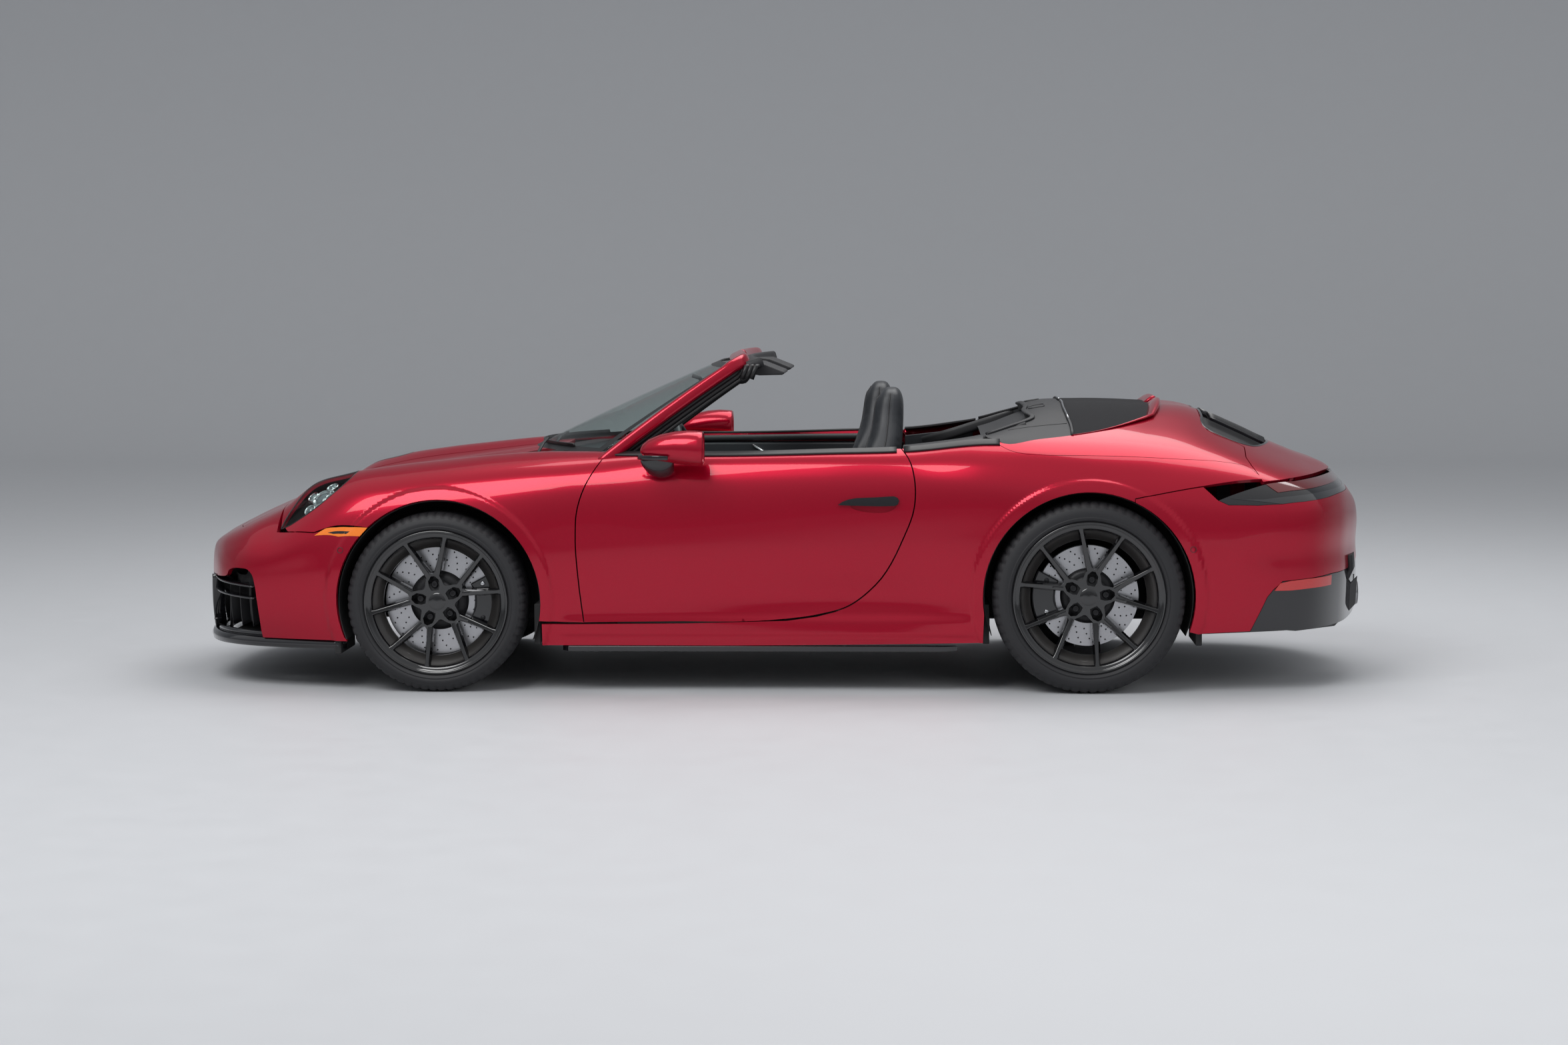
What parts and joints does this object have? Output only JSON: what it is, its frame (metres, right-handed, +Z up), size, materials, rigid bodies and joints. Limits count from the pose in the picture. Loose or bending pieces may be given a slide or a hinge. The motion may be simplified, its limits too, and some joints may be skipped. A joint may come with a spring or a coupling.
{
  "type": "two-door convertible sports car",
  "caption": "Low two-door open sports car with an oval-lamped nose, thin-spoked black wheels, two front seats and a folded roof behind them.",
  "frame": {"origin": "on the ground under the middle of the car's length and width", "axes": "+X towards the tail, +Y towards the car's right side, +Z up"},
  "size_m": [4.553, 2.032, 1.27],
  "materials": {
    "red_paint": "clear-coated metallic",
    "black_plastic": "gloss",
    "headlamp_glass": "clear lens over a dark housing",
    "screen_glass": "clear",
    "soft_top_cloth": "woven",
    "lamp_red": "tinted lens",
    "dark_metal": "matt",
    "exhaust_steel": "brushed",
    "black_leather": "grained",
    "tyre_rubber": "matt",
    "rim_black": "gloss",
    "disc_steel": "turned",
    "knuckle_metal": "painted"
  },
  "bodies": {
    "body": {"front_bumper": "red_paint", "wing_left": "red_paint", "wing_right": "red_paint", "sill_left": "red_paint", "sill_right": "red_paint", "windscreen_frame": "red_paint", "rear_bumper": "red_paint", "rear_wing_left": "red_paint", "rear_wing_right": "red_paint", "rear_deck": "red_paint", "cowl": "black_plastic", "front_grille": "black_plastic", "front_lip": "black_plastic", "sill_blade_left": "black_plastic", "sill_blade_right": "black_plastic", "rear_diffuser": "black_plastic", "headlamp_left": "headlamp_glass", "headlamp_right": "headlamp_glass", "windscreen": "screen_glass", "soft_top_cover": "soft_top_cloth", "lamp_bar": "lamp_red", "floor_pan": "dark_metal", "luggage_tub": "dark_metal", "tail_frame": "dark_metal", "front_housing_left": "dark_metal", "front_housing_right": "dark_metal", "engine_block": "dark_metal", "front_axle_beam": "dark_metal", "rear_axle_beam": "dark_metal", "tail_pipes": "exhaust_steel", "dashboard": "black_leather", "console": "black_leather", "seat_left": "black_leather", "seat_right": "black_leather", "rear_seats": "black_leather", "knuckle_rear_left": "knuckle_metal", "knuckle_rear_right": "knuckle_metal"},
    "bonnet": {"bonnet": "red_paint"},
    "engine_lid": {"engine_lid": "red_paint", "engine_grille": "black_plastic"},
    "door_left": {"door_left": "red_paint", "mirror_left": "red_paint"},
    "door_right": {"door_right": "red_paint", "mirror_right": "red_paint"},
    "steering": {"steering_wheel": "black_leather"},
    "upright_left": {"knuckle_front_left": "knuckle_metal"},
    "wheel_front_left": {"tyre_front_left": "tyre_rubber", "rim_front_left": "rim_black", "disc_front_left": "disc_steel"},
    "wheel_rear_left": {"tyre_rear_left": "tyre_rubber", "rim_rear_left": "rim_black", "disc_rear_left": "disc_steel"},
    "upright_right": {"knuckle_front_right": "knuckle_metal"},
    "wheel_front_right": {"tyre_front_right": "tyre_rubber", "rim_front_right": "rim_black", "disc_front_right": "disc_steel"},
    "wheel_rear_right": {"tyre_rear_right": "tyre_rubber", "rim_rear_right": "rim_black", "disc_rear_right": "disc_steel"}
  },
  "joints": [
    {"name": "bonnet_hinge", "type": "hinge", "parent": "body", "child": "bonnet", "pos_m": [-0.896, 0, 0.905], "axis": [0, 1, 0], "range_deg": [0, 50]},
    {"name": "engine_lid_hinge", "type": "hinge", "parent": "body", "child": "engine_lid", "pos_m": [1.644, 0, 1.045], "axis": [0, -1, 0], "range_deg": [0, 48]},
    {"name": "door_left_hinge", "type": "hinge", "parent": "body", "child": "door_left", "pos_m": [-0.646, -0.87, 0.5], "axis": [0, 0, -1], "range_deg": [0, 65]},
    {"name": "door_right_hinge", "type": "hinge", "parent": "body", "child": "door_right", "pos_m": [-0.646, 0.87, 0.5], "axis": [0, 0, 1], "range_deg": [0, 65]},
    {"name": "steer_left", "type": "hinge", "parent": "body", "child": "upright_left", "pos_m": [-1.2735, -0.733, 0.34], "axis": [0, 0, 1], "range_deg": [-32, 32]},
    {"name": "steer_right", "type": "hinge", "parent": "body", "child": "upright_right", "pos_m": [-1.2735, 0.733, 0.34], "axis": [0, 0, 1], "range_deg": [-32, 32]},
    {"name": "steering_turn", "type": "hinge", "parent": "body", "child": "steering", "pos_m": [-0.33, -0.37, 0.835], "axis": [0.9135, 0, 0.4067], "range_deg": [-448, 448]},
    {"name": "spin_front_left", "type": "hinge", "parent": "upright_left", "child": "wheel_front_left", "pos_m": [-1.2735, -0.782, 0.34], "axis": [0, 1, 0], "continuous": true},
    {"name": "spin_rear_left", "type": "hinge", "parent": "body", "child": "wheel_rear_left", "pos_m": [1.1765, -0.768, 0.361], "axis": [0, 1, 0], "continuous": true},
    {"name": "spin_front_right", "type": "hinge", "parent": "upright_right", "child": "wheel_front_right", "pos_m": [-1.2735, 0.782, 0.34], "axis": [0, 1, 0], "continuous": true},
    {"name": "spin_rear_right", "type": "hinge", "parent": "body", "child": "wheel_rear_right", "pos_m": [1.1765, 0.768, 0.361], "axis": [0, 1, 0], "continuous": true}
  ],
  "couplings": [
    {"joint": "steer_right", "follows": "steer_left", "ratio": 1},
    {"joint": "steering_turn", "follows": "steer_left", "ratio": 13.5}
  ]
}
